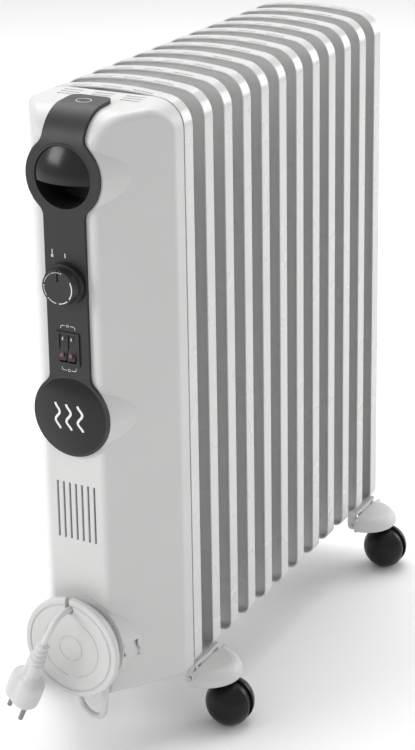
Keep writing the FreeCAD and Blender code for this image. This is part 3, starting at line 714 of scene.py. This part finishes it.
@dataclass
class HeatSign:
    """The glossy dome of the lower disc with three heat waves, and a plain ring on the strip's tab."""

    pieces: Pieces
    dome_radius: float = 0.0372
    rise: float = 0.0044
    wave_step: float = 0.012
    wave_swing: float = 0.0024
    wave_half: float = 0.0125
    wave_width: float = 0.0024
    mark_thick: float = 0.0003
    ring_inset: float = 0.017
    ring_half: tuple = (0.0075, 0.0055)
    ring_width: float = 0.0006
    ring_thick: float = 0.0004
    tab_slope: float = 0.065

    def dome(self, ball: float, front: float, centre_z: float) -> None:
        """Build the dome as a cap of a sphere: y = front - rise + R - sqrt(R^2 - r^2).

        Args:
            ball: The sphere's radius R.
            front: The strip's front plane.
            centre_z: The dome's height above the floor.
        """
        reach = self.dome_radius * np.sin(np.linspace(0.5, 0.01, 24) * math.pi)
        angle = np.linspace(0.0, FULL_TURN, 96, endpoint=False)
        depth = front - self.rise + ball - np.sqrt(ball ** 2 - reach ** 2)
        x = reach[:, None] * np.cos(angle)[None, :]
        z = centre_z + reach[:, None] * np.sin(angle)[None, :]
        cap = np.stack([x, np.broadcast_to(depth[:, None], x.shape), z], axis=-1)
        foot = cap[:1] + np.array([0.0, 0.0012, 0.0])
        item = skin("badge_dome", np.concatenate([foot, cap]))
        self.pieces.add(item, Body.SHELL, "gloss_black")
        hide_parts("badge_disc")

    def waves(self, ball: float, front: float, centre_z: float) -> None:
        """Lay three waves on the dome: x = offset + swing * sin(1.5 pi s) for s from -1 to 1.

        Args:
            ball: The dome's sphere radius.
            front: The strip's front plane.
            centre_z: The dome's height above the floor.
        """
        s = np.linspace(-1.0, 1.0, 48)
        for index in range(3):
            x = (index - 1) * self.wave_step + self.wave_swing * np.sin(s * math.pi * 1.5)
            z = self.wave_half * s
            drop = ball - np.sqrt(ball ** 2 - x ** 2 - z ** 2)
            path = np.stack([x, front - self.rise + drop, centre_z + z], axis=1)
            normal = np.stack([x / ball, -np.ones_like(x), z / ball], axis=1)
            normal /= np.linalg.norm(normal, axis=1)[:, None]
            item = ribbon("heat_wave_%d" % index, path, normal, self.wave_width, self.mark_thick)
            self.pieces.add(item, Body.SHELL, "ink")

    def tab_ring(self) -> None:
        """Lay a plain ring on the sloping top of the strip's tab."""
        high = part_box("control_strip")[1]
        tab_y = high.y - self.ring_inset
        angle = np.linspace(0.0, FULL_TURN * 0.995, 48)
        x = self.ring_half[0] * np.cos(angle)
        y = tab_y + self.ring_half[1] * np.sin(angle)
        z = high.z - 0.0008 + (y - tab_y) * self.tab_slope
        normal = np.tile([0.0, -self.tab_slope, 0.998], (48, 1))
        item = ribbon("tab_ring", np.stack([x, y, z], axis=1), normal, self.ring_width, self.ring_thick)
        self.pieces.add(item, Body.SHELL, "ink")

    def build(self) -> None:
        """Lay the dome, the waves and the ring on their surfaces."""
        low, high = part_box("badge_disc")
        centre_z = (low.z + high.z) / 2
        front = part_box("control_strip")[0].y
        ball = (self.dome_radius ** 2 + self.rise ** 2) / (2 * self.rise)
        self.dome(ball, front, centre_z)
        self.waves(ball, front, centre_z)
        self.tab_ring()


@dataclass
class RockerFaces:
    """A mark and a small lens on each of the two rockers."""

    pieces: Pieces
    lean: float = math.radians(8.0)
    pivot_depth: float = 0.0095
    thick: float = 0.0012
    parts: tuple = (
        ("mark", 0.0075, -0.0090, 0.0014, 0.0009, "ink"),
        ("lens", -0.0078, -0.0088, 0.0017, 0.0034, "lens"),
    )

    def build(self) -> None:
        """Add each part, turned about the pivot by the rocker's lean."""
        sine = math.sin(self.lean)
        cosine = math.cos(self.lean)
        for body in (Body.ROCKER_LEFT, Body.ROCKER_RIGHT):
            low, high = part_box(body.value)
            middle = (low + high) / 2
            for part, level, out, run, width, key in self.parts:
                z = level + run * np.linspace(-1.0, 1.0, 8)
                turned_y = low.y + self.pivot_depth + out * cosine + z * sine
                turned_z = middle.z - out * sine + z * cosine
                path = np.stack([np.full(8, middle.x), turned_y, turned_z], axis=1)
                normal = np.tile([0.0, -cosine, sine], (8, 1))
                item = ribbon("%s_%s" % (body.value, part), path, normal, width, self.thick)
                self.pieces.add(item, body, key)


@dataclass
class ReelRelief:
    """Shallow moulded arcs on the cord store's front disc, in a grey a touch darker than the white moulding as
    painted shade.
    """

    pieces: Pieces
    width: float = 0.0011
    thick: float = 0.0009
    arcs: tuple = (
        ("outer", 0.030, -75.0, 62.0),
        ("outer_left", 0.030, 118.0, 262.0),
        ("inner", 0.0125, -80.0, 150.0),
        ("inner_left", 0.0125, 170.0, 262.0),
    )

    def build(self) -> None:
        """Lay each arc half sunk in the disc's face."""
        low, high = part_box("reel_disc")
        centre = ((low.x + high.x) / 2, low.y, (low.z + high.z) / 2)
        for name, radius, start, end in self.arcs:
            path = face_arc(centre, radius, start, end, 60)
            item = ribbon("reel_arc_" + name, path, facing(len(path)), self.width, self.thick)
            self.pieces.add(item, Body.SHELL, "shadow_line")


@dataclass
class Studio:
    """Camera, floor and soft lights."""

    palette: Palette
    yaw: float = 28.73
    pitch: float = 17.43
    roll: float = -0.93
    place: tuple = (0.934, -1.693, 1.068)
    focal_pixels: float = 2017.0
    frame_height: float = 750.0
    sensor: float = 36.0
    shift: float = -0.2
    floor_reach: float = 6.0
    ambient: float = 0.66
    aim: tuple = (0.0, 0.0, 0.35)
    lamps: tuple = (
        ("key_light", (-1.7, -2.0, 1.5), 1.2, 33.0),
        ("top_light", (-0.7, 1.2, 3.2), 3.0, 86.0),
        ("back_light", (1.6, 2.6, 1.1), 1.3, 24.0),
    )

    def camera(self) -> None:
        """Set the camera by its yaw, pitch and roll."""
        data = bpy.data.cameras.new("studio_camera")
        data.sensor_width = self.sensor
        data.sensor_fit = "AUTO"
        data.lens = self.focal_pixels / self.frame_height * data.sensor_width
        data.shift_y = self.shift
        data.clip_end = 50.0
        item = bpy.data.objects.new("studio_camera", data)
        yaw = Matrix.Rotation(math.radians(self.yaw), 4, "Z")
        tilt = Matrix.Rotation(math.radians(90.0 - self.pitch), 4, "X")
        roll = Matrix.Rotation(math.radians(self.roll), 4, "Z")
        item.matrix_world = Matrix.Translation(self.place) @ yaw @ tilt @ roll
        bpy.context.scene.collection.objects.link(item)
        bpy.context.scene.camera = item

    def light(self, name: str, place: Point, size: float, power: float) -> None:
        """Aim one area light at the object's middle.

        Args:
            name: The light's name.
            place: Its position.
            size: Its side in metres.
            power: Its power in watts.
        """
        data = bpy.data.lights.new(name, "AREA")
        data.shape = "SQUARE"
        data.size = size
        data.energy = power
        item = bpy.data.objects.new(name, data)
        item.location = place
        aim = Vector(self.aim) - Vector(place)
        item.rotation_euler = aim.to_track_quat("-Z", "Y").to_euler()
        bpy.context.scene.collection.objects.link(item)

    def floor(self) -> None:
        """Make the plain pale floor."""
        reach = self.floor_reach
        mesh = bpy.data.meshes.new("studio_floor")
        corners = [(-reach, -reach, 0.0), (reach, -reach, 0.0), (reach, reach, 0.0), (-reach, reach, 0.0)]
        mesh.from_pydata(corners, [], [(0, 1, 2, 3)])
        mesh.materials.append(self.palette.get("floor"))
        item = bpy.data.objects.new("studio_floor", mesh)
        bpy.context.scene.collection.objects.link(item)

    def world(self) -> None:
        """Make the even white surroundings."""
        world = bpy.data.worlds.new("studio_world")
        world.use_nodes = True
        background = world.node_tree.nodes["Background"]
        background.inputs["Color"].default_value = (1.0, 1.0, 1.0, 1.0)
        background.inputs["Strength"].default_value = self.ambient
        bpy.context.scene.world = world

    def build(self) -> None:
        """Make the camera, the floor, the surroundings and the lights."""
        self.camera()
        self.floor()
        self.world()
        bpy.context.scene.view_settings.view_transform = "Standard"
        for name, place, size, power in self.lamps:
            self.light(name, place, size, power)


def main() -> None:
    """Build every sub-assembly in order."""
    logging.basicConfig(level=logging.INFO, format="%(message)s")
    palette = Palette()
    pieces = Pieces(palette)
    Studio(palette).build()
    CadFinishes(palette).build()
    MainsLead(pieces).build()
    PanelMarks(pieces).build()
    KnobMarks(pieces).build()
    HeatSign(pieces).build()
    RockerFaces(pieces).build()
    ReelRelief(pieces).build()


if __name__ == "__main__":
    main()
